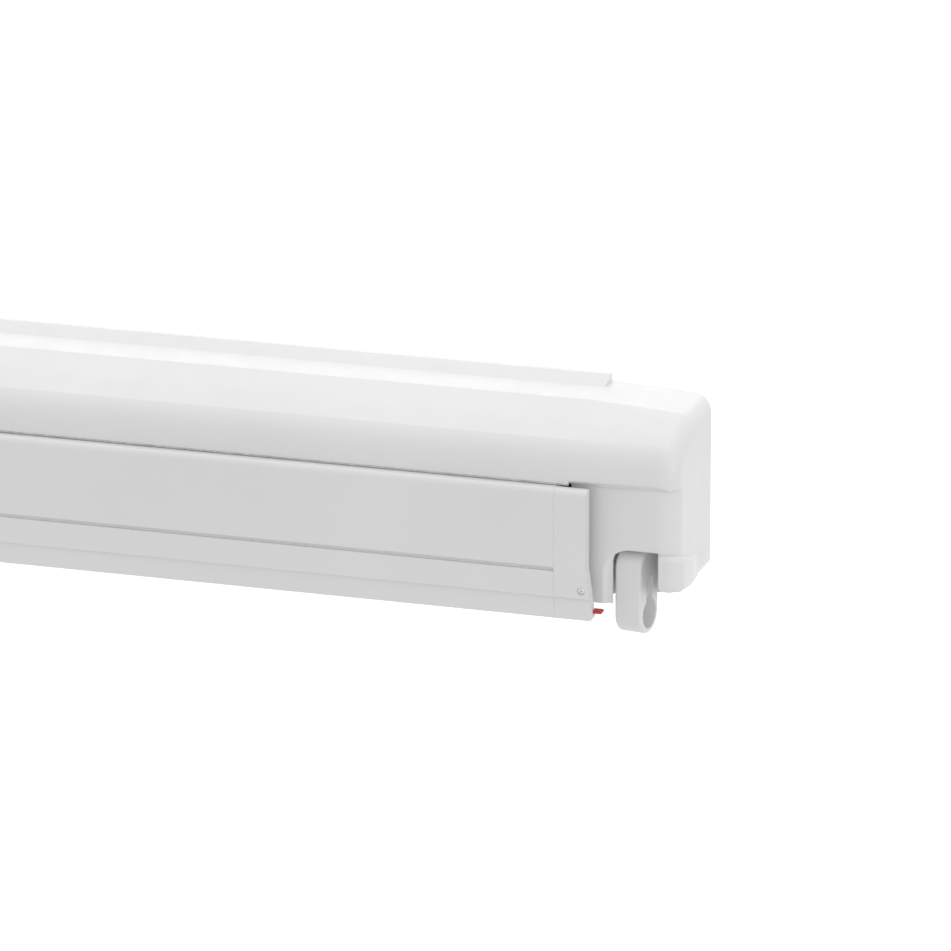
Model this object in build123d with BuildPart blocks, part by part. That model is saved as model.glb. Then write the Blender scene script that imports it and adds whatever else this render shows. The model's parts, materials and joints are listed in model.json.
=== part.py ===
from build123d import *
import math
import os

os.makedirs("parts", exist_ok=True)

# A roll-out awning for the wall of a camper van, closed: a long case with the cloth wound up inside,
# a front bar that closes the case, two folding arms behind the bar and two legs stored in the bar.
# X runs along the case to the right, Y into the wall and Z up. The origin is the middle of the case's
# back face, which lies on the wall. A level is a height above the front bar's underside.

# Driving dimensions of the case
case_length = 2160 * MM
case_depth = 95 * MM
case_top_level = 130 * MM
case_floor_level = 8 * MM
case_wall = 2.2 * MM
roof_depth = 44 * MM
roof_rail_height = 5 * MM
roof_rail_depth = 4 * MM
roof_rail_ramp = 12 * MM
brow_radius = 26 * MM
brow_sweep = 60
lip_level = 85.5 * MM
lip_height = 2 * MM
shelf_depth = 46 * MM

# Driving dimensions of the end caps
cap_length = 68 * MM
cap_front = 88 * MM
cap_wall = 2.5 * MM
cap_round = 14 * MM
cap_end_fall = 4 * MM
cap_end_taper = 4 * MM

# Driving dimensions of the front bar
bar_front = 103 * MM
bar_back = 88 * MM
bar_top_level = 84 * MM
bar_round = 4.5 * MM
bar_wall = 2 * MM
bar_end_length = 21 * MM
bar_end_overlap = 7 * MM
trough_back = 52 * MM
trough_front = 99 * MM
trough_roof_level = 26.5 * MM
groove_level = 30.8 * MM
groove_width = 2.4 * MM
step_level = 14 * MM

# Driving dimensions of the cloth and its roller
cloth_length = 1800 * MM
cloth_thickness = 0.45 * MM
cloth_inset = 34 * MM
roller_radius = 24 * MM
roller_wall = 1.5 * MM
roller_y = -47 * MM
roller_level = 89 * MM

# Driving dimensions of the arms: two equal links from the shoulder to the elbow and on to the wrist
elbow_x = 70 * MM
shoulder_inset = 60 * MM
shoulder_y = -24 * MM
wrist_y = -52 * MM
arm_low_level = 32 * MM
arm_height = 20 * MM
arm_width = 22 * MM
arm_wall = 2 * MM
inner_lane_y = -21 * MM
outer_lane_y = -53 * MM
pivot_radius = 5 * MM
eye_radius = 12 * MM
running_gap = 0.05 * MM
side_gap = 0.3 * MM
open_pivot_gap = 0.6 * MM
ear_thickness = 3.2 * MM

# Driving dimensions of the legs
leg_width = 20 * MM
leg_wall = 1.6 * MM
leg_tube_length = 1060 * MM
leg_inner_width = 16 * MM
leg_inner_end_gap = 24 * MM
leg_plug_length = 30 * MM
collar_length = 30 * MM
foot_gap = 4 * MM
leg_level = 14 * MM
leg_pivot_inset = 18 * MM
front_lane_y = -87 * MM
back_lane_y = -64 * MM

# Driving dimensions of the winch
winch_offset = 38 * MM
worm_distance = 26.3 * MM
worm_radius = 6 * MM
shaft_radius = 5 * MM
eye_width = 18 * MM
eye_ring_radius = 13 * MM
eye_hole_radius = 9.5 * MM
eye_level = 0 * MM
eye_turn = -9

# Places worked out from them
cut_overrun = 5 * MM
case_end = case_length / 2
back_middle_level = (case_floor_level + case_top_level) / 2
roof_level = case_top_level - roof_rail_height
brow_level = lip_level + lip_height
bar_end = case_end - bar_end_overlap
arm_top_level = arm_low_level + arm_height
arm_middle_level = arm_low_level + arm_height / 2
shoulder_x = case_end - shoulder_inset
elbow_y = (shoulder_y + wrist_y) / 2
roll_radius = math.sqrt(roller_radius**2 + cloth_length * cloth_thickness / math.pi)
winch_x = case_end + winch_offset
worm_y = roller_y - worm_distance
leg_pivot_x = case_end - leg_pivot_inset
leg_inner_length = leg_tube_length + collar_length + foot_gap - leg_plug_length - leg_inner_end_gap
sides = (("right", 1), ("left", -1))


def up(level):
    """Z of a level."""
    return level - back_middle_level


def middle(ends):
    """The place halfway between two places."""
    return (ends[0] + ends[1]) / 2


def span(ends):
    """The distance between two places."""
    return abs(ends[1] - ends[0])


def block(x_ends, y_ends, level_ends, mode=Mode.ADD):
    """A box from one place to another along each axis, the last as levels."""
    with Locations((middle(x_ends), middle(y_ends), up(middle(level_ends)))):
        Box(span(x_ends), span(y_ends), span(level_ends), mode=mode)


def post(x, y, level_ends, radius, mode=Mode.ADD):
    """An upright cylinder between two levels."""
    with Locations((x, y, up(middle(level_ends)))):
        Cylinder(radius, span(level_ends), mode=mode)


def rod(x_ends, y, level, radius, mode=Mode.ADD):
    """A cylinder that lies along X."""
    with Locations(Location((middle(x_ends), y, up(level)), (0, 90, 0))):
        Cylinder(radius, span(x_ends), mode=mode)


def cross_rod(x, y_ends, level, radius, mode=Mode.ADD):
    """A cylinder that lies along Y."""
    with Locations(Location((x, middle(y_ends), up(level)), (90, 0, 0))):
        Cylinder(radius, span(y_ends), mode=mode)


def sided(side, *places):
    """Places along X on the right half, moved to the given side."""
    return [side * x for x in places]


def brow_curve(inset, ridge, front):
    """The brow from the roof's ridge to the lip: a wide arc, then a tighter one that ends upright."""
    radius = brow_radius - inset
    turn = math.radians(brow_sweep)
    foot = (-front + inset, up(brow_level))
    knee = (foot[0] + radius * (1 - math.cos(turn)), foot[1] + radius * math.sin(turn))
    TangentArc(foot, knee, tangent=(0, 1))
    TangentArc(knee, ridge, tangent=(math.sin(turn), math.cos(turn)))
    return foot


def finish(piece, name):
    """Names a piece and writes its file."""
    piece.part.label = name
    export_step(piece.part, f"parts/{name}.step")


# The case is one aluminium extrusion: floor shelf, back wall, roof and the curved brow down to the lip.
# A low rail along the roof's back edge takes the seal against the wall.
with BuildPart() as case_housing:
    with BuildSketch(Plane.YZ):
        with BuildLine() as case_skin:
            case_shelf = Line((-shelf_depth, up(case_floor_level)), (0, up(case_floor_level)))
            case_back = Line(case_shelf @ 1, (0, up(roof_level)))
            case_roof = Line(case_back @ 1, (-roof_depth, up(roof_level)))
            case_brow_foot = brow_curve(0, case_roof @ 1, case_depth)
            Line(case_brow_foot, (-case_depth, up(lip_level)))
            offset(amount=case_wall, side=Side.LEFT, closed=True)
        make_face()
        Polygon(
            (0, up(roof_level - case_wall)),
            (0, up(case_top_level)),
            (-roof_rail_depth, up(case_top_level)),
            (-roof_rail_depth - roof_rail_ramp, up(roof_level)),
            (-roof_rail_depth - roof_rail_ramp, up(roof_level - case_wall)),
            align=None,
        )
    extrude(amount=case_end, both=True)
finish(case_housing, "case_housing")


# The rubber seal under the lip closes the gap above the front bar.
seal_width = 2 * MM
with BuildPart() as lip_seal:
    seal_y = (-case_depth, -case_depth + seal_width)
    block((-case_end, case_end), seal_y, (bar_top_level + side_gap, lip_level))
finish(lip_seal, "lip_seal")


# End caps: a brow that follows the case, over a lower front that steps back to the bar's gap.
cap_ledge_chamfer = 3.5 * MM
cap_ledge_level = brow_level - cap_ledge_chamfer
cap_joint = 10 * MM
pocket_length = 18 * MM
pocket_level = 85.5 * MM
recess_end = 55.5 * MM
recess_radius = 17 * MM
recess_level = 43.5 * MM
recess_shaft_gap = 1.5 * MM
recess_eye_gap = 2.5 * MM
arch_start = 20.5 * MM
arch_depth = 2 * MM
arch_taper = 60
pod_start = 57.5 * MM
pod_end = 72 * MM
pod_depth = 92.5 * MM
pod_back = 40 * MM
pod_front_levels = (20 * MM, 44 * MM)
pod_back_levels = (12 * MM, 31 * MM)
pod_shoulder = 66 * MM
pod_corner_round = 10 * MM
pod_top_round = 3.5 * MM
pod_low_round = 5 * MM
recess_wall_y = worm_y + recess_radius + cap_wall
recess_wall_start = winch_offset - recess_radius - cap_wall


def brow_section(inset, fall, taper):
    """The upper part of an end cap in section, drawn inset from its skin."""
    top_level = roof_level - fall - inset
    roof = Line((-inset, up(top_level)), (-roof_depth, up(top_level)))
    foot = brow_curve(inset, roof @ 1, case_depth - taper)
    ledge_front = (foot[0] + cap_ledge_chamfer, up(cap_ledge_level + inset))
    Polyline(foot, ledge_front, (-inset, up(cap_ledge_level + inset)), roof @ 0)


def cap_brow(side, inset):
    """The upper part of an end cap, or the hollow in it."""
    end = case_end + cap_length - inset
    sections = []
    for x, fall, taper in ((case_end, 0, 0), (end, cap_end_fall, cap_end_taper)):
        with BuildSketch(Plane.YZ.offset(side * x)) as section:
            with BuildLine():
                brow_section(inset, fall, taper)
            make_face()
        sections.append(section.sketch)
    loft(sections, ruled=True)


def cap_end_edges(builder, side):
    """The edges around a cap's far end."""
    return builder.faces().sort_by(Axis.X)[-1 if side > 0 else 0].edges()


def make_cap_hollow(side):
    """The hollow inside an end cap."""
    hollow_round = cap_round - cap_wall
    cap_end = case_end + cap_length
    with BuildPart() as upper:
        cap_brow(side, cap_wall)
        fillet(cap_end_edges(upper, side).sort_by(Axis.Z)[2:], hollow_round)
    with BuildPart() as hollow:
        low_levels = (case_floor_level + cap_wall, cap_ledge_level + cap_joint)
        block(sided(side, case_end, cap_end - cap_wall), (-cap_wall, -cap_front + cap_wall), low_levels)
        fillet(cap_end_edges(hollow, side), hollow_round)
        add(upper.part)
        if side > 0:
            recess_x = (case_end + recess_wall_start, cap_end)
            block(recess_x, (recess_wall_y, -case_depth), (0, recess_level + cap_wall), mode=Mode.SUBTRACT)
    return hollow.part


# The pod is a rounded swelling at the foot of the right cap, beside the crank. It falls to the back.
with BuildPart() as pod:
    with BuildSketch(Plane.YZ.offset(case_end + pod_start)):
        Polygon(
            (-pod_depth, up(pod_front_levels[0])),
            (-pod_depth, up(pod_front_levels[1])),
            (-pod_back, up(pod_back_levels[1])),
            (-pod_back, up(pod_back_levels[0])),
            align=None,
        )
    extrude(amount=pod_end - pod_start)
    with BuildSketch(Plane.XY) as pod_plan:
        Polygon(
            (case_end + pod_start, -pod_depth),
            (case_end + pod_end, -pod_depth),
            (case_end + pod_end, -pod_shoulder),
            (case_end + cap_length, -pod_back),
            (case_end + pod_start, -pod_back),
            align=None,
        )
        fillet(pod_plan.vertices().group_by(Axis.Y)[0].sort_by(Axis.X)[-1], pod_corner_round)
    extrude(amount=case_depth, both=True, mode=Mode.INTERSECT)
    pod_left_edges = pod.faces().sort_by(Axis.X)[0].edges()
    for pod_face, rounding in ((-1, pod_top_round), (0, pod_low_round)):
        rim = [e for e in pod.faces().sort_by(Axis.Z)[pod_face].edges() if e not in pod_left_edges]
        fillet(rim, rounding)


def arch_sketch(arch_start_x, arch_end_x, top_level):
    """The front outline of the crank's recess: open below, with a round top at its inner corner."""
    with BuildSketch(Plane.XZ.offset(cap_front)) as outline:
        arch_z = (up(-cut_overrun), up(top_level))
        with Locations((middle((arch_start_x, arch_end_x)), middle(arch_z))):
            arch = Rectangle(span((arch_start_x, arch_end_x)), span(arch_z))
        fillet(arch.vertices().group_by(Axis.Y)[-1].sort_by(Axis.X)[0], recess_radius)
    return outline.sketch


# The crank hangs in a room that is round at its back and left, and open to the right.
with BuildPart() as crank_room:
    post(winch_x, worm_y, (-cut_overrun, recess_level), recess_radius)
    opening_y = (worm_y + recess_radius, -case_depth)
    block((winch_x, case_end + recess_end), opening_y, (-cut_overrun, recess_level))
    room_outline = arch_sketch(winch_x - recess_radius, case_end + recess_end, recess_level)
    extrude(room_outline, amount=case_depth, both=True, mode=Mode.INTERSECT)


def cut_crank_recess():
    """Cuts the crank's room, the shallow arch around it, the shaft's hole and the rising floor."""
    arch_top_level = recess_level + arch_depth / 2
    arch_outline = arch_sketch(case_end + arch_start, case_end + pod_start, arch_top_level)
    extrude(arch_outline, amount=-arch_depth, taper=arch_taper, mode=Mode.SUBTRACT)
    add(crank_room.part, mode=Mode.SUBTRACT)
    shaft_hole_levels = (recess_level - cut_overrun, recess_level + cut_overrun)
    post(winch_x, worm_y, shaft_hole_levels, shaft_radius + recess_shaft_gap, mode=Mode.SUBTRACT)
    with BuildSketch(Plane.YZ.offset(case_end + recess_end)) as under_pod:
        Polygon(
            (recess_wall_y, up(-cut_overrun)),
            (recess_wall_y, up(case_floor_level)),
            (-cap_front, up(pod_front_levels[0])),
            (-cap_front, up(-cut_overrun)),
            align=None,
        )
    extrude(under_pod.sketch, amount=cap_length, mode=Mode.SUBTRACT)

for side_name, side in sides:
    cap_end = case_end + cap_length
    with BuildPart() as cap_upper:
        cap_brow(side, 0)
        fillet(cap_end_edges(cap_upper, side).sort_by(Axis.Z)[2:], cap_round)
    with BuildPart() as end_cap:
        cap_levels = (case_floor_level, cap_ledge_level + cap_joint)
        block(sided(side, case_end, cap_end), (0, -cap_front), cap_levels)
        fillet(cap_end_edges(end_cap, side).sort_by(Axis.Z)[:-1], cap_round)
        add(cap_upper.part)
        add(make_cap_hollow(side), mode=Mode.SUBTRACT)
        pocket_x = sided(side, case_end, case_end + pocket_length)
        block(pocket_x, (-case_depth - cut_overrun, -cap_front), (0, pocket_level), mode=Mode.SUBTRACT)
        if side > 0:
            cut_crank_recess()
            add(pod.part)
    finish(end_cap, f"end_cap_{side_name}")


# Plates at both ends of the case carry the roller's journals.
support_thickness = 5 * MM
support_inset = 1 * MM
support_levels = (58 * MM, 116 * MM)
support_y = (-case_wall, -66 * MM)
support_round = 12 * MM
journal_radius = 8 * MM
support_outer_x = case_end - support_inset
support_inner_x = support_outer_x - support_thickness
for side_name, side in sides:
    with BuildPart() as roller_support:
        block(sided(side, support_inner_x, support_outer_x), support_y, support_levels)
        fillet(roller_support.edges().filter_by(Axis.X).group_by(Axis.Y)[0], support_round)
        journal_hole_x = sided(side, support_inner_x, support_outer_x)
        rod(journal_hole_x, roller_y, roller_level, journal_radius + running_gap, mode=Mode.SUBTRACT)
    finish(roller_support, f"roller_support_{side_name}")


# The roller is a thin tube with a plug in each end. The right plug's long journal drives the roller.
roller_end_gap = 6 * MM
plug_depth = 40 * MM
wheel_width = 12 * MM
wheel_radius = 20 * MM
wheel_bore = journal_radius
roller_end = support_inner_x - roller_end_gap
with BuildPart() as roller_tube:
    rod((-roller_end, roller_end), roller_y, roller_level, roller_radius)
    tube_bore = roller_radius - roller_wall
    rod((-roller_end, roller_end), roller_y, roller_level, tube_bore, mode=Mode.SUBTRACT)
finish(roller_tube, "roller_tube")

plug_flange = 4 * MM
journal_ends = {"right": winch_x + wheel_width / 2, "left": support_outer_x}
for side_name, side in sides:
    with BuildPart() as roller_plug:
        rod(sided(side, roller_end - plug_depth, roller_end), roller_y, roller_level, tube_bore)
        rod(sided(side, roller_end, roller_end + plug_flange), roller_y, roller_level, roller_radius)
        journal_x = sided(side, roller_end + plug_flange, journal_ends[side_name])
        rod(journal_x, roller_y, roller_level, journal_radius)
    finish(roller_plug, f"roller_plug_{side_name}")


# The worm wheel sits on the right journal, and the worm on the crank shaft drives it.
wheel_teeth = 20
tooth_gap_radius = 1.6 * MM
with BuildPart() as worm_wheel:
    wheel_x = (winch_x - wheel_width / 2, winch_x + wheel_width / 2)
    rod(wheel_x, roller_y, roller_level, wheel_radius)
    rod(wheel_x, roller_y, roller_level, wheel_bore, mode=Mode.SUBTRACT)
    with Locations(Plane((winch_x, roller_y, up(roller_level)), x_dir=(0, 1, 0), z_dir=(1, 0, 0))):
        with PolarLocations(wheel_radius, wheel_teeth):
            Cylinder(tooth_gap_radius, wheel_width, mode=Mode.SUBTRACT)
finish(worm_wheel, "worm_wheel")


# The gear housing stands on the right support and holds the worm and its wheel.
housing_wall = 2 * MM
housing_front = 82.5 * MM
housing_back = 24 * MM
housing_step = 66 * MM
housing_low_level = 62 * MM
housing_front_level = 100 * MM
wheel_room = 0.6 * MM
housing_left_wall = winch_x - wheel_width / 2 - 7 * MM
housing_x = (support_outer_x, winch_x + wheel_width / 2 + 11 * MM)
housing_top_level = roller_level + wheel_radius + wheel_room + housing_wall
with BuildPart() as gear_housing:
    block(housing_x, (-housing_back, -housing_step), (housing_low_level, housing_top_level))
    block(housing_x, (-housing_back, -housing_front), (housing_low_level, housing_front_level))
    gear_room_x = (housing_left_wall, housing_x[1])
    wheel_room_levels = (housing_low_level + housing_wall, housing_top_level - housing_wall)
    room_back = -housing_back - housing_wall
    block(gear_room_x, (room_back, -housing_step), wheel_room_levels, mode=Mode.SUBTRACT)
    worm_room_levels = (housing_low_level + housing_wall, housing_front_level - housing_wall)
    room_front = -housing_front + housing_wall
    block(gear_room_x, (room_back, room_front), worm_room_levels, mode=Mode.SUBTRACT)
    journal_bore_x = (support_outer_x, housing_left_wall)
    rod(journal_bore_x, roller_y, roller_level, journal_radius + running_gap, mode=Mode.SUBTRACT)
    floor_levels = (housing_low_level, housing_low_level + housing_wall)
    post(winch_x, worm_y, floor_levels, shaft_radius + running_gap, mode=Mode.SUBTRACT)
finish(gear_housing, "gear_housing")

cover_thickness = 2 * MM
with BuildPart() as gear_cover:
    cover_x = (housing_x[1], housing_x[1] + cover_thickness)
    block(cover_x, (-housing_back, -housing_step), (housing_low_level, housing_top_level))
    block(cover_x, (-housing_back, -housing_front), (housing_low_level, housing_front_level))
finish(gear_cover, "gear_cover")


# The crank shaft stands on the eye, passes the cap's ceiling and carries the worm.
worm_half = 9 * MM
shaft_low_level = 12 * MM
with BuildPart() as crank_shaft:
    post(winch_x, worm_y, (shaft_low_level, roller_level + worm_half - side_gap), shaft_radius)
    post(winch_x, worm_y, (roller_level - worm_half, roller_level + worm_half - side_gap), worm_radius)
finish(crank_shaft, "crank_shaft")

bush_radius = 8.5 * MM
bush_levels = (recess_level + cap_wall, recess_level + cap_wall + 5 * MM)
with BuildPart() as shaft_bush:
    post(winch_x, worm_y, bush_levels, bush_radius)
    post(winch_x, worm_y, bush_levels, shaft_radius + running_gap, mode=Mode.SUBTRACT)
finish(shaft_bush, "shaft_bush")


# The crank eye is a moulded loop with a round crown. It takes the hook of the hand crank.
eye_top_level = recess_level - recess_eye_gap
eye_crown_half = 2 * MM
eye_edge = 2 * MM
eye_slot_width = 9 * MM
eye_slot_depth = 3 * MM
eye_slot_top_level = 24 * MM
with BuildPart() as crank_eye:
    with BuildSketch(Plane.YZ):
        with Locations((0, eye_level)):
            Circle(eye_ring_radius)
        with Locations((0, (eye_level + eye_top_level) / 2)):
            neck_outline = Rectangle(2 * eye_ring_radius, eye_top_level - eye_level)
        fillet(neck_outline.vertices().group_by(Axis.Y)[-1], eye_ring_radius - eye_crown_half)
    extrude(amount=eye_width / 2, both=True)
    eye_sides = crank_eye.faces().sort_by(Axis.X)
    fillet(eye_sides[0].edges() + eye_sides[-1].edges(), eye_edge)
    with BuildSketch(Plane.YZ):
        with Locations((0, eye_level)):
            Circle(eye_hole_radius)
    extrude(amount=eye_width, both=True, mode=Mode.SUBTRACT)
    slot_z = (eye_level + eye_slot_top_level) / 2
    for slot_side in (1, -1):
        with Locations((slot_side * eye_width / 2, 0, slot_z)):
            Box(2 * eye_slot_depth, eye_slot_width, eye_slot_top_level - eye_level, mode=Mode.SUBTRACT)
    shaft_hole_height = eye_top_level - shaft_low_level
    with Locations((0, 0, eye_top_level - shaft_hole_height / 2)):
        Cylinder(shaft_radius, shaft_hole_height, mode=Mode.SUBTRACT)
eye_place = Location((winch_x, worm_y, up(0)), (0, 0, eye_turn))
crank_eye.part = crank_eye.part.moved(eye_place)
finish(crank_eye, "crank_eye")


# The cloth: the wound part on the roller, and the stretch from its underside into the bar's bead rail.
cloth_end = case_end - cloth_inset
rail_depth = 8 * MM
rail_levels = (57 * MM, 66 * MM)
rail_bore = 3.2 * MM
rail_slot = 2.4 * MM
rail_front_extra = 0.4 * MM
rail_bore_y = -bar_back + rail_depth / 2 + rail_front_extra
bead_level = middle(rail_levels)
sheet_thickness = 1 * MM
sheet_start_y = roller_y - 2 * MM
with BuildPart() as fabric_roll:
    rod((-cloth_end, cloth_end), roller_y, roller_level, roll_radius)
    rod((-cloth_end, cloth_end), roller_y, roller_level, roller_radius, mode=Mode.SUBTRACT)
finish(fabric_roll, "fabric_roll")

with BuildPart() as fabric_span:
    with BuildSketch(Plane.YZ):
        start_top_level = roller_level - roll_radius - running_gap
        Polygon(
            (sheet_start_y, up(start_top_level)),
            (sheet_start_y, up(start_top_level - sheet_thickness)),
            (rail_bore_y, up(bead_level - sheet_thickness / 2)),
            (rail_bore_y, up(bead_level + sheet_thickness / 2)),
            align=None,
        )
    extrude(amount=cloth_end, both=True)
finish(fabric_span, "fabric_span")

# The front bar's main profile: a hollow front face, the bead rail behind it and the roof over the legs.
bar_hook_depth = 1.8 * MM
groove_depth = 2 * MM
bar_web_level = 56 * MM
bar_room_round = 3 * MM
trough_guard_level = 2 * MM
trough_top_level = trough_roof_level + bar_wall
with BuildPart() as lead_bar:
    with BuildSketch(Plane.YZ):
        with BuildLine():
            bar_top = Line((-bar_back, up(bar_top_level)), (-bar_front + bar_round, up(bar_top_level)))
            nose_foot = (-bar_front, up(bar_top_level - bar_round))
            bar_nose = TangentArc(bar_top @ 1, nose_foot, tangent=bar_top % 1)
            Polyline(
                bar_nose @ 1,
                (-bar_front, up(groove_level + groove_width)),
                (-bar_front + groove_depth, up(groove_level + groove_width)),
                (-bar_front + groove_depth, up(trough_roof_level)),
                (-trough_back + bar_wall, up(trough_roof_level)),
                (-trough_back + bar_wall, up(trough_top_level)),
                (-bar_back, up(trough_top_level)),
                bar_top @ 0,
            )
        make_face()
        room_y = (-bar_front + groove_depth + bar_wall, -bar_back - bar_wall)
        room_levels = (
            (trough_top_level, bar_web_level - bar_wall / 2),
            (bar_web_level + bar_wall / 2, bar_top_level - bar_wall),
        )
        for low, high in room_levels:
            with Locations((middle(room_y), up((low + high) / 2))):
                RectangleRounded(span(room_y), high - low, bar_room_round, mode=Mode.SUBTRACT)
        with Locations((-bar_back + rail_depth / 2, up(bead_level))):
            Rectangle(rail_depth, span(rail_levels))
        with Locations((rail_bore_y, up(bead_level))):
            Circle(rail_bore, mode=Mode.SUBTRACT)
        with Locations((rail_bore_y + rail_depth / 2, up(bead_level))):
            Rectangle(rail_depth, rail_slot, mode=Mode.SUBTRACT)
    extrude(amount=bar_end, both=True)
finish(lead_bar, "lead_bar")

# The skirt is the lower front of the bar. It hooks on below the groove and hides the legs.
with BuildPart() as bar_skirt:
    with BuildSketch(Plane.YZ):
        Polygon(
            (-bar_front, up(groove_level)),
            (-bar_front, up(step_level)),
            (-bar_front + bar_hook_depth, up(step_level)),
            (-bar_front + bar_hook_depth, up(0)),
            (-trough_front, up(0)),
            (-trough_front, up(trough_roof_level)),
            (-bar_front + groove_depth, up(trough_roof_level)),
            (-bar_front + groove_depth, up(groove_level)),
            align=None,
        )
    extrude(amount=bar_end, both=True)
finish(bar_skirt, "bar_skirt")

# The guard is a flat strip under the roof's back edge, behind the legs.
with BuildPart() as leg_guard:
    guard_y = (-trough_back, -trough_back + bar_wall)
    block((-bar_end, bar_end), guard_y, (trough_guard_level, trough_roof_level))
finish(leg_guard, "leg_guard")


# Moulded ends close the bar. Their foot flares out a little beside the case's end cap.
slab_back = 96 * MM
bar_end_round = 5 * MM
bar_foot_round = 3 * MM
flare = 4.5 * MM
flare_top_level = 34 * MM
end_plate = 4 * MM
screw_radius = 2.6 * MM
screw_head = 1 * MM
screw_length = 8 * MM
screw_inset = 3 * MM
screw_level = 19.5 * MM
bar_ends = {}
for side_name, side in sides:
    outer_x = bar_end + bar_end_length
    with BuildPart() as bar_cap:
        with BuildSketch(Plane.YZ.offset(side * bar_end)):
            with BuildLine():
                cap_top = Line((-slab_back, up(bar_top_level)), (-bar_front + bar_round, up(bar_top_level)))
                cap_nose_foot = (-bar_front, up(bar_top_level - bar_round))
                cap_nose = TangentArc(cap_top @ 1, cap_nose_foot, tangent=cap_top % 1)
                Polyline(
                    cap_nose @ 1,
                    (-bar_front, up(step_level)),
                    (-bar_front + bar_hook_depth, up(step_level)),
                    (-bar_front + bar_hook_depth, up(0)),
                    (-slab_back, up(0)),
                    cap_top @ 0,
                )
            make_face()
        extrude(amount=side * (bar_end_length + flare))
        with BuildSketch(Plane.XZ) as end_outline:
            with BuildLine():
                Polyline(
                    (side * bar_end, up(0)),
                    (side * (outer_x + flare), up(0)),
                    (side * outer_x, up(flare_top_level)),
                    (side * outer_x, up(bar_top_level)),
                    (side * bar_end, up(bar_top_level)),
                    close=True,
                )
            make_face()
            outer_corners = end_outline.vertices().sort_by(Axis.X, reverse=side > 0)[:3].sort_by(Axis.Y)
            fillet(outer_corners[0], bar_foot_round)
            fillet(outer_corners[-1], bar_end_round)
        extrude(amount=2 * bar_front, mode=Mode.INTERSECT)
        plate_x = sided(side, bar_end, bar_end + end_plate)
        block(plate_x, (-slab_back, -trough_back + bar_wall), (0, trough_top_level))
        screw_x = side * (outer_x - screw_inset)
        screw_y = (-bar_front, -bar_front + screw_length)
        cross_rod(screw_x, screw_y, screw_level, screw_radius, mode=Mode.SUBTRACT)
    bar_ends[side_name] = bar_cap.part
    finish(bar_cap, f"bar_end_{side_name}")

    with BuildPart() as bar_screw:
        shank_y = (-bar_front + screw_head, -bar_front + screw_length)
        cross_rod(screw_x, shank_y, screw_level, screw_radius)
    finish(bar_screw, f"bar_screw_{side_name}")


# Red tabs under the bar's ends release the legs.
tab_length = 8 * MM
tab_y = (-100 * MM, -95 * MM)
tab_levels = (4.8 * MM, 6.8 * MM)
tab_round = 0.9 * MM
tab_start = bar_end + bar_end_length + flare - bar_foot_round
for side_name, side in sides:
    with BuildPart() as leg_release:
        block(sided(side, tab_start, tab_start + tab_length), tab_y, tab_levels)
        fillet(leg_release.edges().filter_by(Axis.Y), tab_round)
        add(bar_ends[side_name], mode=Mode.SUBTRACT)
    finish(leg_release, f"leg_release_{side_name}")


# Shoulder brackets on the case's back wall, with an ear under and over each arm's root.
bracket_half = 20 * MM
bracket_plate = 4 * MM
low_ear_levels = (arm_low_level - side_gap - ear_thickness, arm_low_level - side_gap)
high_ear_levels = (arm_top_level + side_gap, arm_top_level + side_gap + ear_thickness)
plate_back_y = -case_wall
plate_front_y = -case_wall - bracket_plate
pin_head_radius = 7.5 * MM
pin_head = 1.5 * MM


def ear(x, y, plate_y, levels, radius):
    """A flat ear from a plate along X to the eye around a pivot."""
    with BuildSketch(Plane.XY.offset(up(levels[0]))) as outline:
        with Locations((x, y)):
            Circle(radius)
        with Locations((x, middle(plate_y))):
            Rectangle(2 * bracket_half, span(plate_y))
        make_hull()
    extrude(outline.sketch, amount=span(levels))


for side_name, side in sides:
    pivot_x = side * shoulder_x
    plate_y = (plate_back_y, plate_front_y)
    plate_x = (pivot_x - bracket_half, pivot_x + bracket_half)
    with BuildPart() as shoulder_bracket:
        for levels in (low_ear_levels, high_ear_levels):
            ear(pivot_x, shoulder_y, plate_y, levels, eye_radius)
        block(plate_x, plate_y, (case_floor_level + case_wall, high_ear_levels[1]))
        hole_levels = (low_ear_levels[0], high_ear_levels[1])
        post(pivot_x, shoulder_y, hole_levels, pivot_radius, mode=Mode.SUBTRACT)
    finish(shoulder_bracket, f"shoulder_bracket_{side_name}")

    with BuildPart() as shoulder_pin:
        post(pivot_x, shoulder_y, hole_levels, pivot_radius)
        head_levels = (high_ear_levels[1], high_ear_levels[1] + pin_head)
        post(pivot_x, shoulder_y, head_levels, pin_head_radius)
        tail_levels = (low_ear_levels[0] - pin_head, low_ear_levels[0])
        post(pivot_x, shoulder_y, tail_levels, pin_head_radius)
    finish(shoulder_pin, f"shoulder_pin_{side_name}")


# Each arm: two hollow tubes side by side when folded, with cast pieces at the shoulder, elbow and wrist.
arm_levels = (arm_low_level, arm_top_level)
knuckle_length = 28 * MM
plug_length = 32 * MM
fork_length = 34 * MM
fork_root = 14 * MM
fork_ear = 4.5 * MM
outer_root = 20 * MM
outer_knuckle_length = 32 * MM
wrist_length = 26 * MM
wrist_eye_radius = 11 * MM
inner_lane = (inner_lane_y + arm_width / 2, inner_lane_y - arm_width / 2)
outer_lane = (outer_lane_y + arm_width / 2, outer_lane_y - arm_width / 2)


def arm_tube(x_ends, lane_y):
    """A rounded rectangular tube along X."""
    with BuildSketch(Plane.YZ.offset(x_ends[0])) as section:
        with Locations((lane_y, up(arm_middle_level))):
            RectangleRounded(arm_width, arm_height, arm_wall)
            bore = (arm_width - 2 * arm_wall, arm_height - 2 * arm_wall)
            Rectangle(*bore, mode=Mode.SUBTRACT)
    extrude(section.sketch, amount=x_ends[1] - x_ends[0])


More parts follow.
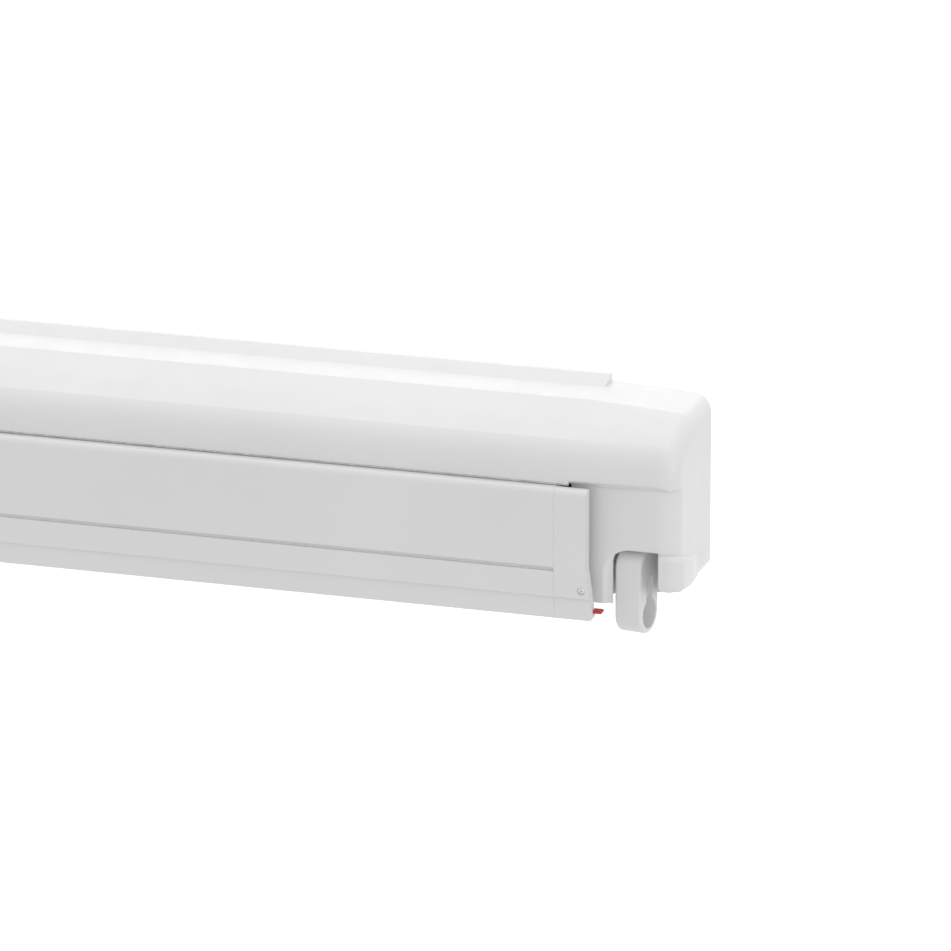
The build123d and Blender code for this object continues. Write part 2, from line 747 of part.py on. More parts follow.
def arm_plug(x_ends, lane_y):
    """The part of a cast piece that sits inside a tube."""
    half_width = arm_width / 2 - arm_wall
    plug_levels = (arm_low_level + arm_wall, arm_top_level - arm_wall)
    block(x_ends, (lane_y - half_width, lane_y + half_width), plug_levels)


def neck(pivot, radius, x_ends, y_ends, levels):
    """A flat piece from the eye around a pivot to the root of a tube."""
    with BuildSketch(Plane.XY.offset(up(levels[0]))) as outline:
        with Locations(pivot):
            Circle(radius)
        with Locations((middle(x_ends), middle(y_ends))):
            Rectangle(span(x_ends), span(y_ends))
        make_hull()
    extrude(outline.sketch, amount=span(levels))


for side_name, side in sides:
    shoulder = (side * shoulder_x, shoulder_y)
    elbow = (side * elbow_x, elbow_y)
    wrist = (side * shoulder_x, wrist_y)
    inner_tube_x = sided(side, shoulder_x - knuckle_length, elbow_x + fork_length)
    outer_tube_x = sided(side, shoulder_x - wrist_length, elbow_x + outer_knuckle_length)

    with BuildPart() as inner_arm:
        arm_tube(inner_tube_x, inner_lane_y)
    finish(inner_arm, f"inner_arm_{side_name}")

    with BuildPart() as shoulder_knuckle:
        root_x = sided(side, shoulder_x - knuckle_length, shoulder_x - eye_radius)
        neck(shoulder, eye_radius, root_x, inner_lane, arm_levels)
        plug_x = sided(side, shoulder_x - knuckle_length - plug_length, shoulder_x - knuckle_length)
        arm_plug(plug_x, inner_lane_y)
        post(*shoulder, arm_levels, pivot_radius + running_gap, mode=Mode.SUBTRACT)
    finish(shoulder_knuckle, f"shoulder_knuckle_{side_name}")

    with BuildPart() as elbow_fork:
        root_x = sided(side, elbow_x + fork_root, elbow_x + fork_length)
        for levels in (
            (arm_low_level, arm_low_level + fork_ear),
            (arm_top_level - fork_ear, arm_top_level),
        ):
            neck(elbow, eye_radius, root_x, inner_lane, levels)
        block(root_x, inner_lane, arm_levels)
        plug_x = sided(side, elbow_x + fork_length, elbow_x + fork_length + plug_length)
        arm_plug(plug_x, inner_lane_y)
        post(*elbow, arm_levels, pivot_radius, mode=Mode.SUBTRACT)
    finish(elbow_fork, f"elbow_fork_{side_name}")

    with BuildPart() as elbow_pin:
        post(*elbow, arm_levels, pivot_radius)
    finish(elbow_pin, f"elbow_pin_{side_name}")

    with BuildPart() as outer_arm:
        arm_tube(outer_tube_x, outer_lane_y)
    finish(outer_arm, f"outer_arm_{side_name}")

    with BuildPart() as elbow_knuckle:
        tongue_levels = (arm_low_level + fork_ear + side_gap, arm_top_level - fork_ear - side_gap)
        root_x = sided(side, elbow_x + outer_root, elbow_x + outer_knuckle_length)
        neck(elbow, eye_radius, root_x, outer_lane, tongue_levels)
        block(root_x, outer_lane, arm_levels)
        plug_start = elbow_x + outer_knuckle_length
        arm_plug(sided(side, plug_start, plug_start + plug_length), outer_lane_y)
        post(*elbow, arm_levels, pivot_radius + running_gap, mode=Mode.SUBTRACT)
    finish(elbow_knuckle, f"elbow_knuckle_{side_name}")

    # The right wrist is fitted last and has more play than the left one.
    wrist_gap = open_pivot_gap if side > 0 else running_gap
    with BuildPart() as wrist_eye:
        root_x = sided(side, shoulder_x - wrist_length, shoulder_x - wrist_eye_radius)
        neck(wrist, wrist_eye_radius, root_x, outer_lane, arm_levels)
        plug_x = sided(side, shoulder_x - wrist_length - plug_length, shoulder_x - wrist_length)
        arm_plug(plug_x, outer_lane_y)
        post(*wrist, arm_levels, pivot_radius + wrist_gap, mode=Mode.SUBTRACT)
    finish(wrist_eye, f"wrist_eye_{side_name}")


# Wrist brackets on the back of the bar hold the arms' ends between two ears.
wrist_plate = 3 * MM
wrist_low_levels = (trough_top_level, arm_low_level - side_gap)
for side_name, side in sides:
    pivot_x = side * shoulder_x
    plate_y = (-bar_back, -bar_back + wrist_plate)
    plate_x = (pivot_x - bracket_half, pivot_x + bracket_half)
    with BuildPart() as wrist_bracket:
        for levels in (wrist_low_levels, high_ear_levels):
            ear(pivot_x, wrist_y, plate_y, levels, wrist_eye_radius)
        block(plate_x, plate_y, (trough_top_level, high_ear_levels[1]))
        hole_levels = (trough_top_level, high_ear_levels[1])
        post(pivot_x, wrist_y, hole_levels, pivot_radius, mode=Mode.SUBTRACT)
    finish(wrist_bracket, f"wrist_bracket_{side_name}")

    with BuildPart() as wrist_pin:
        post(pivot_x, wrist_y, hole_levels, pivot_radius)
        head_levels = (high_ear_levels[1], high_ear_levels[1] + pin_head)
        post(pivot_x, wrist_y, head_levels, pin_head_radius)
    finish(wrist_pin, f"wrist_pin_{side_name}")


# Legs: each swings down from a hinge in the trough, and its inner tube pulls out of the outer one.
hinge_half = 15 * MM
hinge_plate = 2 * MM
hinge_ear = 3 * MM
leg_pin_radius = 3 * MM
leg_eye_radius = 8 * MM
leg_eye_half = 6 * MM
hinge_ear_radius = 9 * MM
leg_root = 14 * MM
collar_width = 21.6 * MM
foot_length = 28 * MM
foot_hole_radius = 4 * MM
leg_lanes = {"right": back_lane_y, "left": front_lane_y}
leg_bore = leg_width - 2 * leg_wall
for side_name, side in sides:
    lane_y = leg_lanes[side_name]
    pivot_x = side * leg_pivot_x
    tube_x = sided(side, leg_pivot_x - leg_root, leg_pivot_x - leg_root - leg_tube_length)
    lane = (lane_y - leg_width / 2, lane_y + leg_width / 2)
    leg_levels = (leg_level - leg_width / 2, leg_level + leg_width / 2)

    with BuildPart() as leg_hinge:
        hinge_roof = (trough_roof_level - hinge_plate, trough_roof_level)
        ear_outer = leg_eye_half + side_gap + hinge_ear
        hinge_x = (pivot_x - hinge_half, pivot_x + hinge_ear_radius)
        hinge_x = hinge_x if side > 0 else (pivot_x - hinge_ear_radius, pivot_x + hinge_half)
        block(hinge_x, (lane_y - ear_outer, lane_y + ear_outer), hinge_roof)
        for ear_side in (1, -1):
            ear_near = lane_y + ear_side * (leg_eye_half + side_gap)
            ear_y = (ear_near, ear_near + ear_side * hinge_ear)
            cross_rod(pivot_x, ear_y, leg_level, hinge_ear_radius)
            ear_x = (pivot_x - hinge_ear_radius, pivot_x + hinge_ear_radius)
            block(ear_x, ear_y, (leg_level, trough_roof_level))
        cross_rod(pivot_x, (lane_y - ear_outer, lane_y + ear_outer), leg_level, leg_pin_radius)
    finish(leg_hinge, f"leg_hinge_{side_name}")

    with BuildPart() as leg_knuckle:
        eye_y = (lane_y - leg_eye_half, lane_y + leg_eye_half)
        cross_rod(pivot_x, eye_y, leg_level, leg_eye_radius)
        eye_levels = (leg_level - leg_eye_radius, leg_level + leg_eye_radius)
        block((pivot_x, tube_x[0]), eye_y, eye_levels)
        plug_x = (tube_x[0], tube_x[0] - side * leg_plug_length)
        plug_y = (lane_y - leg_bore / 2, lane_y + leg_bore / 2)
        block(plug_x, plug_y, (leg_level - leg_bore / 2, leg_level + leg_bore / 2))
        cross_rod(pivot_x, eye_y, leg_level, leg_pin_radius + running_gap, mode=Mode.SUBTRACT)
    finish(leg_knuckle, f"leg_knuckle_{side_name}")

    with BuildPart() as leg_outer:
        with BuildSketch(Plane.YZ.offset(tube_x[0])):
            with Locations((lane_y, up(leg_level))):
                RectangleRounded(leg_width, leg_width, leg_wall)
                Rectangle(leg_bore, leg_bore, mode=Mode.SUBTRACT)
        extrude(amount=tube_x[1] - tube_x[0])
    finish(leg_outer, f"leg_outer_{side_name}")

    collar_x = (tube_x[1], tube_x[1] - side * collar_length)
    with BuildPart() as leg_collar:
        half = collar_width / 2
        block(collar_x, (lane_y - half, lane_y + half), (leg_level - half, leg_level + half))
        sleeve = leg_inner_width / 2 + side_gap
        bore_y = (lane_y - sleeve, lane_y + sleeve)
        block(collar_x, bore_y, (leg_level - sleeve, leg_level + sleeve), mode=Mode.SUBTRACT)
    finish(leg_collar, f"leg_collar_{side_name}")

    inner_low_x = collar_x[1] - side * foot_gap
    inner_x = (inner_low_x, inner_low_x + side * leg_inner_length)
    with BuildPart() as leg_inner:
        with BuildSketch(Plane.YZ.offset(inner_x[0])):
            with Locations((lane_y, up(leg_level))):
                RectangleRounded(leg_inner_width, leg_inner_width, leg_wall)
                inner_bore = leg_inner_width - 2 * leg_wall
                Rectangle(inner_bore, inner_bore, mode=Mode.SUBTRACT)
        extrude(amount=inner_x[1] - inner_x[0])
    finish(leg_inner, f"leg_inner_{side_name}")

    foot_x = (inner_low_x, inner_low_x - side * foot_length)
    with BuildPart() as leg_foot:
        block(foot_x, lane, leg_levels)
        fillet(leg_foot.edges().filter_by(Axis.X), leg_wall)
        hole_x = (foot_x[0] + foot_x[1]) / 2
        cross_rod(hole_x, lane, leg_level, foot_hole_radius, mode=Mode.SUBTRACT)
    finish(leg_foot, f"leg_foot_{side_name}")
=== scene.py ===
# %% [markdown]
# A camper awning, closed and ready for its wall. The CAD model already has every profile, casting,
# tube and moulded cap in its right place, so this lesson dresses it: it makes the finishes, the
# cloth, the screws and rivets, and the small parts that a plain solid leaves out.

# %% The frame from the CAD model
import json
import math

import bmesh
import bpy
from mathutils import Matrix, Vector


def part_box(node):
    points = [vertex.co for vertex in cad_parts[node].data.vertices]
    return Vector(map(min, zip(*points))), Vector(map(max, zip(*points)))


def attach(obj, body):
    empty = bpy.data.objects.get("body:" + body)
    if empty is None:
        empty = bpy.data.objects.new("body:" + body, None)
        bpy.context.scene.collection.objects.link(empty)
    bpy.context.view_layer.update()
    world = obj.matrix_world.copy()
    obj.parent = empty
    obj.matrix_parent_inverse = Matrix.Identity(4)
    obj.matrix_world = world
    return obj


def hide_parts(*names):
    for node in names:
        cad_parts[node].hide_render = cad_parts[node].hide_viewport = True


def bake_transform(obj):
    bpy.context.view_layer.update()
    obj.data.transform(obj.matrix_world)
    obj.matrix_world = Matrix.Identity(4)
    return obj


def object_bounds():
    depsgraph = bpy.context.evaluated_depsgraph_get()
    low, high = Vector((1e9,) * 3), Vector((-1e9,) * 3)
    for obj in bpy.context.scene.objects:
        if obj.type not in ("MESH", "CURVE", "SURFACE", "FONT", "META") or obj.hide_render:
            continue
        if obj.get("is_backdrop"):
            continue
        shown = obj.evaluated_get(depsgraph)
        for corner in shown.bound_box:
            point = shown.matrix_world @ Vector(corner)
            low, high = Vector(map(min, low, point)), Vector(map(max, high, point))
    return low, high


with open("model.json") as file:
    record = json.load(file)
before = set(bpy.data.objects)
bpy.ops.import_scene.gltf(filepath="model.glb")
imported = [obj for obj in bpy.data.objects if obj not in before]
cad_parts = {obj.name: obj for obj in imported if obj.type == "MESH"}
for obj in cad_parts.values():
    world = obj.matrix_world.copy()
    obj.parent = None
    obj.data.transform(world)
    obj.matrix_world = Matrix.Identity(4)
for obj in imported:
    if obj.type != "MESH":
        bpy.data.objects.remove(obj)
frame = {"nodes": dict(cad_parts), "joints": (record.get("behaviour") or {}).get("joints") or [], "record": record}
nodes, joints = frame["nodes"], frame["joints"]
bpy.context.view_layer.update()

# %% [markdown]
# The camera stands where the photographer stood: in front of the winch end, a little above it, far
# away and with a long lens, so that the long edges hardly converge. A tracking quaternion turns the
# camera to the point in the middle of the picture, which is safer than typing Euler angles.

# %% The camera
CAMERA_AZIMUTH, CAMERA_ELEVATION = math.radians(17.5), math.radians(17.5)
CAMERA_DISTANCE = 4.7
SENSOR_MM, LENS_MM = 36, 284.8
SEEN_AS_FAR_AS = 60
PICTURE_MIDDLE = Vector((1.0060, -0.0500, 0.0015))
away = Vector((
    math.sin(CAMERA_AZIMUTH) * math.cos(CAMERA_ELEVATION),
    -math.cos(CAMERA_AZIMUTH) * math.cos(CAMERA_ELEVATION),
    math.sin(CAMERA_ELEVATION),
))
camera_data = bpy.data.cameras.new("camera")
camera_data.sensor_width = SENSOR_MM
camera_data.lens = LENS_MM
camera_data.clip_end = SEEN_AS_FAR_AS
camera = bpy.data.objects.new("camera", camera_data)
bpy.context.scene.collection.objects.link(camera)
camera.location = PICTURE_MIDDLE + CAMERA_DISTANCE * away
camera.rotation_mode = "QUATERNION"
camera.rotation_quaternion = (-away).to_track_quat("-Z", "Y")
bpy.context.scene.camera = camera
print("camera at", [round(v, 3) for v in camera.location])

# %% [markdown]
# A plain pale floor lies below the lowest point that the legs reach when they are down and pulled
# out. The floor and the sky are white to the camera and to reflections, but light the awning only
# gently. Light Path tells the shader which kind of ray asks, so the white costs no extra light.

# %% Two helpers for shader trees
bpy.context.scene.view_settings.view_transform = "Standard"


def link_nodes(tree, *pairs):
    """Joins sockets, each pair from an output to an input."""
    for output, socket in pairs:
        tree.links.new(output, socket)


def add_nodes(tree, *kinds):
    """New nodes of these kinds, in the same order."""
    return [tree.nodes.new(kind) for kind in kinds]


def seen_directly(tree):
    """1 for camera, glossy and transmission rays, and 0 for the light that falls on things."""
    path, first, second = add_nodes(tree, "ShaderNodeLightPath", "ShaderNodeMath", "ShaderNodeMath")
    first.operation = second.operation = "MAXIMUM"
    link_nodes(
        tree,
        (path.outputs["Is Camera Ray"], first.inputs[0]),
        (path.outputs["Is Glossy Ray"], first.inputs[1]),
        (first.outputs[0], second.inputs[0]),
        (path.outputs["Is Transmission Ray"], second.inputs[1]),
    )
    return second.outputs[0]


print("view transform:", bpy.context.scene.view_settings.view_transform)

# %% The sky
SKY_TINT, SKY_STRENGTH = (0.985, 0.99, 1.0, 1), 0.755
world = bpy.data.worlds.new("sky")
world.use_nodes = True
bpy.context.scene.world = world
sky = world.node_tree
sky.nodes.clear()
dim, bright, sky_mix, sky_end = add_nodes(
    sky, "ShaderNodeBackground", "ShaderNodeBackground", "ShaderNodeMixShader", "ShaderNodeOutputWorld"
)
dim.inputs["Color"].default_value = SKY_TINT
dim.inputs["Strength"].default_value = SKY_STRENGTH
bright.inputs["Color"].default_value = (1, 1, 1, 1)
bright.inputs["Strength"].default_value = 1.0
link_nodes(
    sky,
    (seen_directly(sky), sky_mix.inputs[0]),
    (dim.outputs[0], sky_mix.inputs[1]),
    (bright.outputs[0], sky_mix.inputs[2]),
    (sky_mix.outputs[0], sky_end.inputs["Surface"]),
)
print("sky at strength", SKY_STRENGTH)

# %% The floor
FLOOR_LEVEL, FLOOR_HALF = -2.10, 30
FLOOR_COLOUR, FLOOR_GLOW = (0.78, 0.78, 0.78, 1), (0.66, 0.66, 0.66, 1)
floor_mesh = bpy.data.meshes.new("floor")
corner_signs = ((-1, -1), (1, -1), (1, 1), (-1, 1))
floor_corners = [(x * FLOOR_HALF, y * FLOOR_HALF, FLOOR_LEVEL) for x, y in corner_signs]
floor_mesh.from_pydata(floor_corners, [], [(0, 1, 2, 3)])
floor = bpy.data.objects.new("floor", floor_mesh)
bpy.context.scene.collection.objects.link(floor)
floor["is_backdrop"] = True
floor_paint = bpy.data.materials.new("floor paint")
floor_paint.use_nodes = True
paint = floor_paint.node_tree
paint.nodes.clear()
matt, glow, both, paint_end = add_nodes(
    paint, "ShaderNodeBsdfDiffuse", "ShaderNodeEmission", "ShaderNodeAddShader", "ShaderNodeOutputMaterial"
)
matt.inputs["Color"].default_value = FLOOR_COLOUR
glow.inputs["Color"].default_value = FLOOR_GLOW
link_nodes(
    paint,
    (seen_directly(paint), glow.inputs["Strength"]),
    (matt.outputs[0], both.inputs[0]),
    (glow.outputs[0], both.inputs[1]),
    (both.outputs[0], paint_end.inputs["Surface"]),
)
floor_mesh.materials.append(floor_paint)
print("floor at", FLOOR_LEVEL)

# %% [markdown]
# The studio light is one wide soft box above, with fainter ones in front, at the right and behind.
# A wide lamp from above gives the slow change from bright to grey that shows how the case's brow
# turns down, and leaves no hard shadow. A strong front light would wash that change out.

# %% The lamps
LAMPS = {
    "top box": dict(place=(0.6, 1.2, 3.0), aim=(0.6, 0.0, 0.0), size=(3.6, 1.6), watts=30),
    "front box": dict(place=(1.8, -4.2, 0.6), aim=(0.9, 0.0, 0.0), size=(4.0, 2.0), watts=13),
    "right box": dict(place=(4.0, -0.6, 0.9), aim=(1.1, 0.0, 0.0), size=(1.6, 1.6), watts=12),
    "back box": dict(place=(-0.6, 3.6, 1.6), aim=(0.0, 0.0, 0.0), size=(4.0, 1.6), watts=22),
}
for lamp_name, lamp in LAMPS.items():
    light = bpy.data.lights.new(lamp_name, "AREA")
    light.shape = "RECTANGLE"
    light.size, light.size_y = lamp["size"]
    light.energy = lamp["watts"]
    light_object = bpy.data.objects.new(lamp_name, light)
    light_object.location = lamp["place"]
    light_object.rotation_mode = "QUATERNION"
    beam = Vector(lamp["aim"]) - Vector(lamp["place"])
    light_object.rotation_quaternion = beam.to_track_quat("-Z", "Y")
    bpy.context.scene.collection.objects.link(light_object)
print(len(LAMPS), "lamps")

# %% [markdown]
# Every finish is a small node tree on a Principled shader. Three helpers keep the trees short: one
# makes a material with its plain values set on the shader's own sockets, one adds a pattern on
# Object coordinates, which are metres here, so a scale of 400 is a grain of about 2.5 mm, and one
# turns that pattern into colours or greys.

# %% Helpers for the finishes


def new_finish(name, **values):
    """A material with a Principled shader; the values go on its sockets."""
    material = bpy.data.materials.new(name)
    material.use_nodes = True
    shader = material.node_tree.nodes["Principled BSDF"]
    for socket, value in values.items():
        shader.inputs[socket.replace("_", " ")].default_value = value
    return material, material.node_tree, shader


def pattern(tree, kind, stretch=(1, 1, 1), **settings):
    """A texture node on Object coordinates, stretched along the axes."""
    place, mapping, texture = add_nodes(tree, "ShaderNodeTexCoord", "ShaderNodeMapping", kind)
    mapping.inputs["Scale"].default_value = stretch
    link_nodes(
        tree,
        (place.outputs["Object"], mapping.inputs["Vector"]),
        (mapping.outputs[0], texture.inputs["Vector"]),
    )
    for socket, value in settings.items():
        texture.inputs[socket.replace("_", " ")].default_value = value
    return texture


def ramp(tree, factor, *stops):
    """A colour ramp from (place, grey or colour) stops."""
    node = tree.nodes.new("ShaderNodeValToRGB")
    while len(node.color_ramp.elements) < len(stops):
        node.color_ramp.elements.new(0.5)
    for element, (place, colour) in zip(node.color_ramp.elements, stops):
        element.position = place
        element.color = (*colour, 1) if hasattr(colour, "__len__") else (colour, colour, colour, 1)
    tree.links.new(factor, node.inputs["Fac"])
    return node.outputs["Color"]


print("finish helpers ready")

# %% [markdown]
# No real edge is quite sharp. The Bevel node bends the shading over an edge as a small round would,
# without a single extra face. Where the caps are pressed against the case, the joint must not look
# rounded, so a mask on the X coordinate gives that place its plain normals back.

# %% Softened edges, and the joint between case and cap
SHARP_EDGE_RADIUS, BEVEL_SAMPLES = 0.0006, 6
JOINT_WIDTH = 0.0025
case_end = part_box("case_housing")[1].x


def away_from_joint(tree, joint_x, width):
    """1 everywhere but within width of the upright planes at plus and minus joint_x, where it is 0."""
    place, axes = add_nodes(tree, "ShaderNodeTexCoord", "ShaderNodeSeparateXYZ")
    sizes, gaps, distances, limits = add_nodes(tree, *["ShaderNodeMath"] * 4)
    sizes.operation = distances.operation = "ABSOLUTE"
    gaps.operation, gaps.inputs[1].default_value = "SUBTRACT", joint_x
    limits.operation, limits.inputs[1].default_value = "GREATER_THAN", width
    link_nodes(
        tree,
        (place.outputs["Object"], axes.inputs[0]),
        (axes.outputs["X"], sizes.inputs[0]),
        (sizes.outputs[0], gaps.inputs[0]),
        (gaps.outputs[0], distances.inputs[0]),
        (distances.outputs[0], limits.inputs[0]),
    )
    return limits.outputs[0]


def grain(tree, shader, height, depth, strength, edge=SHARP_EDGE_RADIUS, joint_x=None):
    """A bump over softened edges, as paint and moulding leave them. Gives the softened normal."""
    bump, bevel = add_nodes(tree, "ShaderNodeBump", "ShaderNodeBevel")
    bevel.samples = BEVEL_SAMPLES
    bevel.inputs["Radius"].default_value = edge
    bump.inputs["Distance"].default_value = depth
    bump.inputs["Strength"].default_value = strength
    normal = bevel.outputs[0]
    if joint_x is not None:
        choose, plain = add_nodes(tree, "ShaderNodeMix", "ShaderNodeNewGeometry")
        choose.data_type = "VECTOR"
        link_nodes(
            tree,
            (away_from_joint(tree, joint_x, JOINT_WIDTH), choose.inputs[0]),
            (plain.outputs["Normal"], choose.inputs[4]),
            (bevel.outputs[0], choose.inputs[5]),
        )
        normal = choose.outputs[1]
    link_nodes(
        tree,
        (normal, bump.inputs["Normal"]),
        (height, bump.inputs["Height"]),
        (bump.outputs[0], shader.inputs["Normal"]),
    )
    return normal


print(f"edges softened over {1000 * SHARP_EDGE_RADIUS} mm, joint at x = {case_end:.3f} m")

# %% [markdown]
# The white is painted lighter along every softened edge, convex and concave alike: a painted highlight
# for the bright rims that light puts on edges. The softened normal and the plain one agree on a flat
# face and part on an edge, so one minus their dot product is a mask of the edges that stays on the
# object whatever the view.

# %% Painted edge highlights


def painted_edge_highlights(tree, colour, normal, edge_highlight, strength):
    """The colour, turned towards a painted highlight where a softened edge bends away from its face."""
    flat, match, bend, blend = add_nodes(
        tree, "ShaderNodeNewGeometry", "ShaderNodeVectorMath", "ShaderNodeMath", "ShaderNodeMix"
    )
    match.operation = "DOT_PRODUCT"
    bend.operation, bend.use_clamp = "MULTIPLY_ADD", True
    bend.inputs[1].default_value, bend.inputs[2].default_value = -strength, strength
    blend.data_type = "RGBA"
    blend.inputs[7].default_value = (*edge_highlight, 1)
    link_nodes(
        tree,
        (flat.outputs["Normal"], match.inputs[0]),
        (normal, match.inputs[1]),
        (match.outputs["Value"], bend.inputs[0]),
        (bend.outputs[0], blend.inputs[0]),
        (colour, blend.inputs[6]),
    )
    return blend.outputs[2]


print("edge mask ready")

# %% [markdown]
# The case and the bar are white powder coat: satin, with the faint orange peel that baked powder
# leaves and a trace of dust that makes the white uneven. The moulded ends are a white plastic, a
# little smoother, with the fine texture of a spark-eroded mould. The caps are pressed tight against
# the case, so at that joint both keep their plain edges and hardly any line shows.

# %% White powder coat and white plastic
# The second white is a painted highlight: the lighter white that softened edges are turned towards.
WHITE, EDGE_HIGHLIGHT_WHITE = (0.80, 0.80, 0.795), (0.95, 0.95, 0.945)
EDGE_HIGHLIGHT_STRENGTH = 2.6
DUST_SHADE, PEEL_STRENGTH = 0.975, 0.35


def make_white(name, colour, roughness, peel_scale, peel_depth, edge, joint_x=None):
    """A white finish with a fine surface, slightly uneven colour and painted highlights on its edges."""
    material, tree, shader = new_finish(name, IOR=1.5)
    tone = pattern(tree, "ShaderNodeTexNoise", Scale=9.0, Detail=6.0, Roughness=0.6)
    dusty = tuple(v * DUST_SHADE for v in colour)
    shade = ramp(tree, tone.outputs["Fac"], (0.35, dusty), (0.65, colour))
    gloss = pattern(tree, "ShaderNodeTexNoise", Scale=60.0, Detail=3.0)
    satin = ramp(tree, gloss.outputs["Fac"], (0.3, roughness - 0.04), (0.7, roughness + 0.05))
    peel = pattern(tree, "ShaderNodeTexNoise", Scale=peel_scale, Detail=2.0)
    normal = grain(tree, shader, peel.outputs["Fac"], peel_depth, PEEL_STRENGTH, edge, joint_x)
    # Painted highlight: the white is lightened along softened edges, where light would catch them.
    edge_highlight = painted_edge_highlights(tree, shade, normal, EDGE_HIGHLIGHT_WHITE, EDGE_HIGHLIGHT_STRENGTH)
    link_nodes(tree, (satin, shader.inputs["Roughness"]), (edge_highlight, shader.inputs["Base Color"]))
    return material


powder_coat = make_white("white powder coat", WHITE, 0.36, 420.0, 0.00004, 0.0007)
moulded_white = make_white("moulded white plastic", WHITE, 0.40, 900.0, 0.00003, 0.0010)
case_coat = make_white("white powder coat of the case", WHITE, 0.38, 420.0, 0.00004, 0.0005, case_end)
cap_white = make_white("moulded white of the caps", WHITE, 0.38, 420.0, 0.00004, 0.0014, case_end)
print(powder_coat.name, "and", moulded_white.name)

# %% [markdown]
# Extruded aluminium has fine die lines along its length. All profiles lie along X at rest, so a
# noise squeezed across X and stretched along it draws them. Castings are bead blasted: a grey with
# a tight speckle, darker in the low spots.

# %% Aluminium and steel


def shade_by(tree, shader, factor, colour, variation, roughness, spread):
    """Low spots of a pattern get darker by variation and rougher by spread."""
    low = tuple(v * (1 - variation) for v in colour)
    tone = ramp(tree, factor, (0.3, low), (0.7, colour))
    gloss = ramp(tree, factor, (0.3, roughness + spread), (0.7, roughness))
    link_nodes(tree, (tone, shader.inputs["Base Color"]), (gloss, shader.inputs["Roughness"]))


def make_metal(name, colour, roughness, stretch, scale, depth, variation, edge=SHARP_EDGE_RADIUS):
    """Bare metal with a grain."""
    material, tree, shader = new_finish(name, Metallic=1.0)
    lines = pattern(tree, "ShaderNodeTexNoise", stretch, Scale=scale, Detail=4.0)
    shade_by(tree, shader, lines.outputs["Fac"], colour, variation, roughness, 0.08)
    grain(tree, shader, lines.outputs["Fac"], depth, 0.5, edge)
    return material


anodised = make_metal("anodised aluminium", (0.60, 0.61, 0.625), 0.34, (0.02, 1, 1), 900.0, 0.00002, 0.10)
blasted = make_metal("blasted casting", (0.52, 0.53, 0.54), 0.50, (1, 1, 1), 1500.0, 0.00008, 0.22, 0.0009)
zinc = make_metal("zinc plated steel", (0.66, 0.66, 0.64), 0.28, (1, 1, 1), 220.0, 0.00002, 0.14)
# The shaft's grey is partly its steel and partly painted shade: it is darker than the zinc so that, above the
# crank eye, it matches the shade in the recess.
shade_matched_shaft_steel = make_metal("drawn steel darkened to the recess's shade", (0.46, 0.46, 0.45), 0.42, (1, 1, 1), 260.0, 0.00002, 0.20)
print(anodised.name, blasted.name, zinc.name, shade_matched_shaft_steel.name, sep=", ")

# %% [markdown]
# Nylon, rubber and the red mouldings don't reflect like metal, but their surfaces vary in the same
# way: the low spots of a fine noise are a little darker and duller. The zinc on the rivets and the
# red of the release tabs are the only accents on an awning that is otherwise white and grey.

# %% Nylon, rubber and red plastic


def make_plastic(name, colour, roughness, scale, depth, variation):
    """Dark or coloured plastic and rubber."""
    material, tree, shader = new_finish(name, IOR=1.48)
    speckle = pattern(tree, "ShaderNodeTexNoise", Scale=scale, Detail=5.0)
    shade_by(tree, shader, speckle.outputs["Fac"], colour, variation, roughness, 0.1)
    grain(tree, shader, speckle.outputs["Fac"], depth, 0.4)
    return material


nylon = make_plastic("black nylon", (0.030, 0.031, 0.034), 0.45, 700.0, 0.00005, 0.35)
# The seal's pale grey is partly its own colour and partly painted light: it is made paler so that the shaded gap
# under the case's brow reads less dark.
rubber = make_plastic("seal rubber lightened against shade", (0.66, 0.66, 0.65), 0.60, 300.0, 0.00006, 0.30)
red_plastic = make_plastic("red plastic", (0.52, 0.028, 0.026), 0.32, 260.0, 0.00002, 0.12)
print(nylon.name, rubber.name, red_plastic.name, sep=", ")

# %% [markdown]
# Awning cloth is a PVC-coated polyester: a tight plain weave under a thin satin film, here in pale
# grey with wide darker stripes side by side. The stripes depend on X alone, so they run on from the
# roll into the stretched cloth. Two fine waves, one along X and one along the cloth's own length in
# its UV map, multiply into the weave.

# %% The cloth's finish
BAND_PITCH, THREADS_PER_METRE = 0.30, 900.0
PALE_BAND, DARK_BAND = (0.62, 0.63, 0.64), (0.36, 0.37, 0.39)


def wave(tree, coordinate, pitch):
    """A sine of a coordinate, from 0 to 1."""
    scaled, sine, half = add_nodes(tree, *["ShaderNodeMath"] * 3)
    scaled.operation, scaled.inputs[1].default_value = "MULTIPLY", 2 * math.pi / pitch
    sine.operation = "SINE"
    half.operation = "MULTIPLY_ADD"
    half.inputs[1].default_value = half.inputs[2].default_value = 0.5
    link_nodes(
        tree,
        (coordinate, scaled.inputs[0]),
        (scaled.outputs[0], sine.inputs[0]),
        (sine.outputs[0], half.inputs[0]),
    )
    return half.outputs[0]


